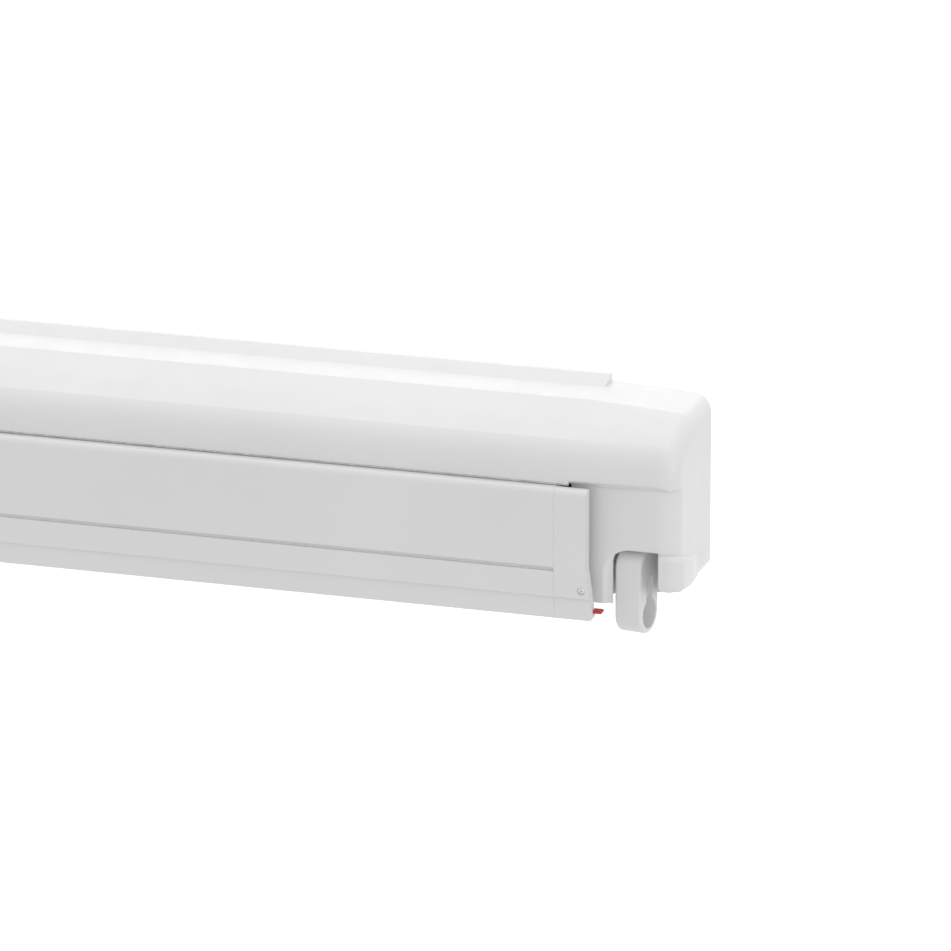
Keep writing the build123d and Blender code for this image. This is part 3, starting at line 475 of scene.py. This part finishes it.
cloth, cloth_tree, cloth_shader = new_finish("awning cloth", IOR=1.45, Roughness=0.55)
cloth_place, cloth_axes, cloth_uv, weave = add_nodes(
    cloth_tree, "ShaderNodeTexCoord", "ShaderNodeSeparateXYZ", "ShaderNodeSeparateXYZ", "ShaderNodeMath"
)
weave.operation = "MULTIPLY"
link_nodes(
    cloth_tree,
    (cloth_place.outputs["Object"], cloth_axes.inputs[0]),
    (cloth_place.outputs["UV"], cloth_uv.inputs[0]),
    (wave(cloth_tree, cloth_axes.outputs["X"], 1 / THREADS_PER_METRE), weave.inputs[0]),
    (wave(cloth_tree, cloth_uv.outputs["Y"], 1 / THREADS_PER_METRE), weave.inputs[1]),
)
band_wave = wave(cloth_tree, cloth_axes.outputs["X"], BAND_PITCH)
bands = ramp(cloth_tree, band_wave, (0.0, PALE_BAND), (0.62, PALE_BAND), (0.64, DARK_BAND), (1.0, DARK_BAND))
cloth_tree.links.new(bands, cloth_shader.inputs["Base Color"])
grain(cloth_tree, cloth_shader, weave.outputs[0], 0.00008, 0.6, 0.0002)
thread = make_plastic("hem thread", (0.55, 0.55, 0.54), 0.60, 2400.0, 0.00003, 0.25)
print(cloth.name, "and", thread.name, "made")

# %% [markdown]
# Each CAD node names a material slot in the record. A small table turns the slot into a finish, so
# no piece is missed: a node whose slot had no finish would stop the script here.

# %% Finishes on the CAD nodes
FINISHES = {
    "white_coat": powder_coat,
    "white_plastic": moulded_white,
    "anodised": anodised,
    "cast": blasted,
    "steel": zinc,
    "nylon": nylon,
    "seal_rubber": rubber,
    "cloth": cloth,
    "red_plastic": red_plastic,
}
OWN_FINISHES = {
    "case_housing": case_coat,
    "end_cap_left": cap_white,
    "end_cap_right": cap_white,
    "crank_shaft": shade_matched_shaft_steel,
}
slot_of = {part["node"]: part["material_slot"] for part in frame["record"]["subparts"]}
for name, node in nodes.items():
    node.data.materials.clear()
    node.data.materials.append(OWN_FINISHES.get(name, FINISHES[slot_of[name]]))
print(len(slot_of), "nodes have a finish")

# %% [markdown]
# The wound cloth is one long strip of 0.45 mm cloth around the roller, so its section is a spiral:
# the radius grows by one thickness each turn. Points on that spiral, pushed out by a little less
# than the thickness, give the inner and the outer face of a thin closed band, and the band is as
# long as the roll. A plain cylinder would show no layers at its ends.

# %% The roll's sizes
CLOTH_LENGTH, CLOTH_THICKNESS = 1.80, 0.00045
STEPS_PER_TURN = 56
LAYER_GAP, LAYER_FILL = 0.00001, 0.93
roll_low, roll_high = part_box("fabric_roll")
tube_low, tube_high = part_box("roller_tube")
roller_y, roller_z = (roll_low.y + roll_high.y) / 2, (roll_low.z + roll_high.z) / 2
roll_outer = (roll_high.z - roll_low.z) / 2
tube_radius = (tube_high.z - tube_low.z) / 2
turns = (roll_outer - tube_radius) / CLOTH_THICKNESS
print(f"{turns:.1f} turns of cloth")

# %% A thin band swept along X


def new_piece(name, vertices, faces, finish):
    """A mesh object with smooth faces and one finish, in the row's own frame."""
    mesh = bpy.data.meshes.new(name)
    mesh.from_pydata(vertices, [], faces)
    mesh.materials.append(finish)
    mesh.update()
    piece = bpy.data.objects.new(name, mesh)
    bpy.context.scene.collection.objects.link(piece)
    return piece


def band_piece(name, inner, outer, x_ends, finish, lengths):
    """A thin closed band between two lines of (y, z) points, swept along X, with its length as UV."""
    count = len(inner)
    vertices = [(x, y, z) for x in x_ends for line in (inner, outer) for y, z in line]
    under_near, over_near, under_far, over_far = (range(k * count, (k + 1) * count) for k in range(4))
    faces = []
    for i, j in zip(range(count - 1), range(1, count)):
        faces.append((under_near[i], under_near[j], under_far[j], under_far[i]))
        faces.append((over_near[j], over_near[i], over_far[i], over_far[j]))
        faces.append((under_near[i], over_near[i], over_near[j], under_near[j]))
        faces.append((over_far[i], under_far[i], under_far[j], over_far[j]))
    for i in (0, -1):
        faces.append((under_near[i], under_far[i], over_far[i], over_near[i]))
    piece = new_piece(name, vertices, faces, finish)
    mesh = piece.data
    shape = bmesh.new()
    shape.from_mesh(mesh)
    bmesh.ops.recalc_face_normals(shape, faces=shape.faces)
    shape.to_mesh(mesh)
    shape.free()
    uv = mesh.uv_layers.new(name="along the cloth")
    for loop in mesh.loops:
        uv.data[loop.index].uv = (mesh.vertices[loop.vertex_index].co.x, lengths[loop.vertex_index % count])
    return piece


print("band helper ready")

# %% The wound cloth
spiral_steps = round(turns * STEPS_PER_TURN)
spiral_inner, spiral_outer, spiral_lengths = [], [], []
for step in range(spiral_steps + 1):
    share = step / spiral_steps
    angle = -math.pi / 2 + 2 * math.pi * turns * (1 - share)
    radius = tube_radius + (roll_outer - tube_radius - CLOTH_THICKNESS) * share
    for line, extra in ((spiral_inner, LAYER_GAP), (spiral_outer, LAYER_FILL * CLOTH_THICKNESS)):
        y = roller_y + (radius + extra) * math.cos(angle)
        line.append((y, roller_z + (radius + extra) * math.sin(angle)))
    spiral_lengths.append(CLOTH_LENGTH * share)
cloth_ends = (roll_low.x, roll_high.x)
cloth_roll = band_piece("cloth_roll", spiral_inner, spiral_outer, cloth_ends, cloth, spiral_lengths)
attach(cloth_roll, "roller")
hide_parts("fabric_roll")
print(f"{cloth_roll.name}: {spiral_steps} steps")

# %% [markdown]
# From the roll's underside the cloth runs to the front bar. It is a thin strip while the awning is
# closed. Its front edge ends in the bead, a plastic cord sewn into a hem that slides into the bar's
# rail.

# %% The stretched cloth
SPAN_STEPS = 30
SPAN_SOLID_THICKNESS = 0.001
RAIL_GRIP = 0.0076
span_low, span_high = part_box("fabric_span")
bead_y, bead_z = span_low.y, span_high.z - SPAN_SOLID_THICKNESS / 2
span_start = Vector((0, roller_y, roll_low.z + CLOTH_THICKNESS / 2))
span_line = [span_start.lerp(Vector((0, bead_y, bead_z)), i / SPAN_STEPS) for i in range(SPAN_STEPS + 1)]
span_under = [(point.y, point.z - CLOTH_THICKNESS / 2) for point in span_line]
span_over = [(point.y, point.z + CLOTH_THICKNESS / 2) for point in span_line]
span_lengths = [CLOTH_LENGTH + (point - span_start).length for point in span_line]
cloth_span = band_piece("cloth_span", span_under, span_over, cloth_ends, cloth, span_lengths)
rail_y = bead_y + RAIL_GRIP
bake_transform(cloth_span)
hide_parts("fabric_span")
print(f"strip of {1000 * (span_start.y - bead_y):.1f} mm between the roll and the rail")

# %% [markdown]
# Small things that repeat are made by Geometry Nodes: the tree holds one head or stitch, puts a copy
# on every point of a small mesh, turns each copy along that point's own direction, and makes the
# copies real. The points come from the frame, so a screw stays on its bracket if the CAD changes. A
# helper fills in the tree's named inputs, takes the evaluated mesh and throws the modifier away.

# %% Helpers for geometry trees


def add_node(tree, kind, **values):
    """A node of a tree with some of its inputs set."""
    node = tree.nodes.new(kind)
    for socket, value in values.items():
        node.inputs[socket.replace("_", " ")].default_value = value
    return node


def new_tree(name, **sizes):
    """A geometry tree that takes points and named sizes and gives a shape."""
    tree = bpy.data.node_groups.new(name, "GeometryNodeTree")
    tree.interface.new_socket("Points", in_out="INPUT", socket_type="NodeSocketGeometry")
    for size, value in sizes.items():
        socket = tree.interface.new_socket(size, in_out="INPUT", socket_type="NodeSocketFloat")
        socket.default_value = value
    tree.interface.new_socket("Shape", in_out="OUTPUT", socket_type="NodeSocketGeometry")
    return tree, tree.nodes.new("NodeGroupInput"), tree.nodes.new("NodeGroupOutput")


def place_on_points(tree, points, instance, result, finish, smooth=True):
    """Copies of a shape on points, turned along each point's facing, made real and given a finish."""
    facing = add_node(tree, "GeometryNodeInputNamedAttribute", Name="facing")
    facing.data_type = "FLOAT_VECTOR"
    turn = tree.nodes.new("FunctionNodeAlignRotationToVector")
    turn.axis = "Z"
    copies, real = add_nodes(tree, "GeometryNodeInstanceOnPoints", "GeometryNodeRealizeInstances")
    shade = add_node(tree, "GeometryNodeSetShadeSmooth", Shade_Smooth=smooth)
    paint = add_node(tree, "GeometryNodeSetMaterial", Material=finish)
    link_nodes(
        tree,
        (points, copies.inputs["Points"]),
        (instance, copies.inputs["Instance"]),
        (facing.outputs["Attribute"], turn.inputs["Vector"]),
        (turn.outputs["Rotation"], copies.inputs["Rotation"]),
        (copies.outputs[0], real.inputs[0]),
        (real.outputs[0], shade.inputs["Geometry"]),
        (shade.outputs[0], paint.inputs["Geometry"]),
        (paint.outputs[0], result.inputs["Shape"]),
    )


print("geometry tree helpers ready")

# %% [markdown]
# A screw's head is a dome with a cross recess, and a blind rivet's is a lower dome without one. The
# dome is a flattened sphere, and the recess is cut by two bars in a Mesh Boolean, so both heads come
# from one tree and change size by its two inputs, Radius and Height.

# %% Trees for screws and rivets
RECESS_LENGTH, RECESS_WIDTH, RECESS_DEPTH = 1.1, 0.28, 0.5


def head_tree(name, finish, crossed):
    """Domed heads, with a cross recess where they are screws."""
    tree, given, result = new_tree(name, Radius=0.003, Height=0.001)
    dome = add_node(tree, "GeometryNodeMeshUVSphere", Segments=28, Rings=10)
    flat, shaped, squeeze = add_nodes(tree, "ShaderNodeMath", "ShaderNodeCombineXYZ", "GeometryNodeTransform")
    flat.operation = "DIVIDE"
    shaped.inputs["X"].default_value = shaped.inputs["Y"].default_value = 1.0
    link_nodes(
        tree,
        (given.outputs["Radius"], dome.inputs["Radius"]),
        (given.outputs["Height"], flat.inputs[0]),
        (given.outputs["Radius"], flat.inputs[1]),
        (flat.outputs[0], shaped.inputs["Z"]),
        (dome.outputs["Mesh"], squeeze.inputs["Geometry"]),
        (shaped.outputs[0], squeeze.inputs["Scale"]),
    )
    head = squeeze.outputs[0]
    if crossed:
        cut = tree.nodes.new("GeometryNodeMeshBoolean")
        cut.operation = "DIFFERENCE"
        tree.links.new(head, cut.inputs["Mesh 1"])
        for long_axis in ("X", "Y"):
            bar, moved = add_nodes(tree, "GeometryNodeMeshCube", "GeometryNodeTransform")
            sizes, lift = add_nodes(tree, "ShaderNodeCombineXYZ", "ShaderNodeCombineXYZ")
            for axis in "XYZ":
                share = tree.nodes.new("ShaderNodeMath")
                share.operation = "MULTIPLY"
                shares = {long_axis: RECESS_LENGTH, "Z": RECESS_DEPTH}
                share.inputs[1].default_value = shares.get(axis, RECESS_WIDTH)
                link_nodes(
                    tree,
                    (given.outputs["Radius"], share.inputs[0]),
                    (share.outputs[0], sizes.inputs[axis]),
                )
            link_nodes(
                tree,
                (sizes.outputs[0], bar.inputs["Size"]),
                (given.outputs["Height"], lift.inputs["Z"]),
                (bar.outputs["Mesh"], moved.inputs["Geometry"]),
                (lift.outputs[0], moved.inputs["Translation"]),
                (moved.outputs[0], cut.inputs["Mesh 2"]),
            )
        head = cut.outputs[0]
    place_on_points(tree, given.outputs["Points"], head, result, finish, smooth=not crossed)
    return tree


screw_tree = head_tree("screw heads", zinc, True)
rivet_tree = head_tree("rivet heads", zinc, False)
print("trees for", screw_tree.name, "and", rivet_tree.name)

# %% [markdown]
# A modifier runs a tree on a small mesh of points, whose "facing" attribute says which way each copy
# looks. The result is taken as a plain mesh and the points are thrown away with their modifier, so
# the finished piece is an ordinary object on its body.

# %% A helper that runs a tree


def grown_piece(name, body, slot, tree, spots, **sizes):
    """A plain mesh from a tree run on spots, each a place and the way it faces, that rides on a body."""
    points = bpy.data.meshes.new(name + "_spots")
    points.from_pydata([place for place, _ in spots], [], [])
    facing = points.attributes.new("facing", "FLOAT_VECTOR", "POINT")
    facing.data.foreach_set("vector", [value for _, way in spots for value in way])
    seed = bpy.data.objects.new(name + "_spots", points)
    bpy.context.scene.collection.objects.link(seed)
    modifier = seed.modifiers.new("grow", "NODES")
    modifier.node_group = tree
    sockets = {item.name: item.identifier for item in tree.interface.items_tree if item.in_out == "INPUT"}
    for size, value in sizes.items():
        modifier[sockets[size]] = value
    graph = bpy.context.evaluated_depsgraph_get()
    mesh = bpy.data.meshes.new_from_object(seed.evaluated_get(graph), depsgraph=graph)
    mesh.name = name
    bpy.data.objects.remove(seed)
    piece = bpy.data.objects.new(name, mesh)
    bpy.context.scene.collection.objects.link(piece)
    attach(piece, body)
    print(f"{name}: {len(spots)} copies, {len(mesh.polygons)} faces")
    return piece


print("grown_piece ready")

# %% [markdown]
# Screws hold the shoulder brackets to the case's back wall, the wrist brackets to the bar, the end
# caps from below, and the cover on the gear housing. Blind rivets hold the castings in the arm tubes
# and the hinge knuckles in the leg tubes. The two screws on the bar's face are the ones that show
# while the awning is closed.

# %% Screws
SIDES = {"left": -1, "right": 1}
UP, DOWN, FRONT, BACK, OUT = (0, 0, 1), (0, 0, -1), (0, -1, 0), (0, 1, 0), (1, 0, 0)
SCREW_SIZES = dict(Radius=0.0034, Height=0.0011)
FACE_SCREW_SIZES = dict(Radius=0.0019, Height=0.0005)
EDGE_INSET = 0.006
SHOULDER_PLATE_DEPTH, SHOULDER_LOW_INSET, SHOULDER_TOP_INSET = 0.0062, 0.008, 0.014
WRIST_PLATE_DEPTH, WRIST_INSET = 0.003, 0.009
CAP_SCREWS_X, CAP_SCREWS_Y = (0.010, 0.048), (-0.020, -0.044)
COVER_INSET, COVER_SCREW_SPREAD = 0.004, 0.034
case_spots, bar_spots, face_spots = [], [], []
wall_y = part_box("case_housing")[1].y - SHOULDER_PLATE_DEPTH
for side_name, side in SIDES.items():
    low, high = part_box(f"shoulder_bracket_{side_name}")
    for x in (low.x + EDGE_INSET, high.x - EDGE_INSET):
        for z in (low.z + SHOULDER_LOW_INSET, high.z - SHOULDER_TOP_INSET):
            case_spots.append(((x, wall_y, z), FRONT))
    low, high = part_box(f"wrist_bracket_{side_name}")
    for x in (low.x + EDGE_INSET, high.x - EDGE_INSET):
        for z in (low.z + WRIST_INSET, high.z - WRIST_INSET):
            bar_spots.append(((x, low.y + WRIST_PLATE_DEPTH, z), BACK))
    low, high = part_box(f"end_cap_{side_name}")
    for x in CAP_SCREWS_X:
        for y in CAP_SCREWS_Y:
            case_spots.append(((side * (case_end + x), y, low.z), DOWN))
    low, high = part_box(f"bar_screw_{side_name}")
    face_spots.append((((low.x + high.x) / 2, low.y, (low.z + high.z) / 2), FRONT))
low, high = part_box("gear_cover")
for y in (low.y + COVER_INSET, high.y - COVER_INSET):
    for z in (low.z + COVER_INSET, low.z + COVER_SCREW_SPREAD):
        case_spots.append(((high.x, y, z), OUT))
grown_piece("case_screws", "case", "steel", screw_tree, case_spots, **SCREW_SIZES)
grown_piece("bracket_screws", "lead_bar", "steel", screw_tree, bar_spots, **SCREW_SIZES)
grown_piece("bar_end_screws", "lead_bar", "steel", screw_tree, face_spots, **FACE_SCREW_SIZES)

# %% Rivets
RIVET_SIZES = dict(Radius=0.0024, Height=0.0007)
ARM_RIVET_INSETS, LEG_RIVET_INSETS = (0.009, 0.023), (0.008, 0.022)
for side_name, side in SIDES.items():
    for link in ("inner", "outer"):
        low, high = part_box(f"{link}_arm_{side_name}")
        near, far = ARM_RIVET_INSETS
        spots = []
        for x in (low.x + near, low.x + far, high.x - far, high.x - near):
            for z, way in ((high.z, UP), (low.z, DOWN)):
                spots.append(((x, (low.y + high.y) / 2, z), way))
        piece_name, body_name = f"{link}_arm_rivets_{side_name}", f"{side_name}_{link}_arm"
        grown_piece(piece_name, body_name, "steel", rivet_tree, spots, **RIVET_SIZES)
    low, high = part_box(f"leg_outer_{side_name}")
    hinge_x = high.x if side > 0 else low.x
    spots = []
    for inset in LEG_RIVET_INSETS:
        for y, way in ((low.y, FRONT), (high.y, BACK)):
            spots.append(((hinge_x - side * inset, y, (low.z + high.z) / 2), way))
    grown_piece(f"leg_rivets_{side_name}", f"{side_name}_leg", "steel", rivet_tree, spots, **RIVET_SIZES)

# %% [markdown]
# The cloth's front edge is hemmed round a plastic bead with two rows of stitches, above and below.
# The bead is one long rod and each stitch a short one laid along X, so both come from the same kind
# of tree. The number of stitches is worked out from the cloth's width.

# %% The bead in the rail
BEAD_RADIUS, BEAD_SIDES, BEAD_SEGMENTS = 0.0025, 20, 60
ALONG = (1, 0, 0)
cloth_width = roll_high.x - roll_low.x


def rod_tree(name, finish, radius, length, **counts):
    """Round rods of a given Radius and Length on points."""
    tree, given, result = new_tree(name, Radius=radius, Length=length)
    rod = add_node(tree, "GeometryNodeMeshCylinder", **counts)
    place_on_points(tree, given.outputs["Points"], rod.outputs["Mesh"], result, finish)
    link_nodes(
        tree,
        (given.outputs["Radius"], rod.inputs["Radius"]),
        (given.outputs["Length"], rod.inputs["Depth"]),
    )
    return tree


bead_tree = rod_tree(
    "bead in the rail", nylon, BEAD_RADIUS, cloth_width, Vertices=BEAD_SIDES, Side_Segments=BEAD_SEGMENTS
)
bead_spots = [((0, bead_y, bead_z), ALONG)]
bead_sizes = dict(Radius=BEAD_RADIUS, Length=cloth_width)
bead = grown_piece("cloth_bead", "lead_bar", "nylon", bead_tree, bead_spots, **bead_sizes)

# %% The hem's stitches
STITCH_PITCH, STITCH_SIDES = 0.0042, 6
STITCH_SIZES = dict(Radius=0.00026, Length=0.0030)
UNSTITCHED_PITCHES = 4
STITCH_INSET = 0.0016
stitch_tree = rod_tree("hem stitches", thread, *STITCH_SIZES.values(), Vertices=STITCH_SIDES)
stitch_count = int(cloth_width / STITCH_PITCH) - UNSTITCHED_PITCHES
stitch_y = rail_y - STITCH_INSET
stitch_share = (span_start.y - stitch_y) / (span_start.y - bead_y)
stitch_z = span_start.z + (bead_z - span_start.z) * stitch_share
stitch_lift = CLOTH_THICKNESS / 2 + STITCH_SIZES["Radius"] / 2
stitch_spots = []
for i in range(stitch_count):
    x = (i - (stitch_count - 1) / 2) * STITCH_PITCH
    for face in (1, -1):
        stitch_spots.append(((x, stitch_y, stitch_z + face * stitch_lift), ALONG))
stitches = grown_piece("hem_stitches", "lead_bar", "cloth", stitch_tree, stitch_spots, **STITCH_SIZES)

# %% [markdown]
# Under each leg's collar lies a clamp lever that locks the telescope. It is a flat moulding with a
# round nose, thick at its pivot and thin at its thumb end, made here from an outline that is
# extruded and bevelled in bmesh. Folded away it fits in the bar's trough under the leg.

# %% Clamp levers on the legs
LEVER_WIDTH, LEVER_LENGTH, LEVER_DEPTH = 0.013, 0.034, 0.0024
LEVER_INSET, LEVER_THINNING, LEVER_ROUND, ROUND_STEPS = 0.003, 0.35, 0.0007, 3
NOSE_STEPS = 10


def lever_outline(start_x, along, middle_y):
    """The lever seen from below: square at its pivot, round at its nose."""
    half = LEVER_WIDTH / 2
    nose_x = LEVER_LENGTH - half
    angles = [math.pi * i / NOSE_STEPS for i in range(NOSE_STEPS + 1)]
    nose = [(nose_x + half * math.sin(a), -half * math.cos(a)) for a in angles]
    return [(start_x + along * x, middle_y + y) for x, y in [(0, -half), *nose, (0, half)]]


for side_name, side in SIDES.items():
    low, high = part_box(f"leg_collar_{side_name}")
    start_x = low.x + LEVER_INSET if side > 0 else high.x - LEVER_INSET
    outline = lever_outline(start_x, side, (low.y + high.y) / 2)
    shape = bmesh.new()
    ring = [shape.verts.new((x, y, low.z)) for x, y in outline]
    face = shape.faces.new(ring)
    grown = bmesh.ops.extrude_face_region(shape, geom=[face])
    moved = [v for v in grown["geom"] if isinstance(v, bmesh.types.BMVert)]
    for vertex in moved:
        share = abs(vertex.co.x - start_x) / LEVER_LENGTH
        vertex.co.z -= LEVER_DEPTH * (1 - LEVER_THINNING * share)
    rim = [e for e in shape.edges if all(v in moved for v in e.verts)]
    bmesh.ops.bevel(shape, geom=rim, offset=LEVER_ROUND, segments=ROUND_STEPS, profile=0.5, affect="EDGES")
    bmesh.ops.recalc_face_normals(shape, faces=shape.faces)
    mesh = bpy.data.meshes.new(f"clamp_lever_{side_name}")
    shape.to_mesh(mesh)
    shape.free()
    mesh.materials.append(red_plastic)
    lever = bpy.data.objects.new(mesh.name, mesh)
    bpy.context.scene.collection.objects.link(lever)
    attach(lever, f"{side_name}_leg")
    print(lever.name, "on", f"leg_collar_{side_name}")

# %% [markdown]
# The dressed awning must not be larger than the CAD model. Here the box of the shown pieces is
# worked out.

# %% The dressed awning's box
low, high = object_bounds()
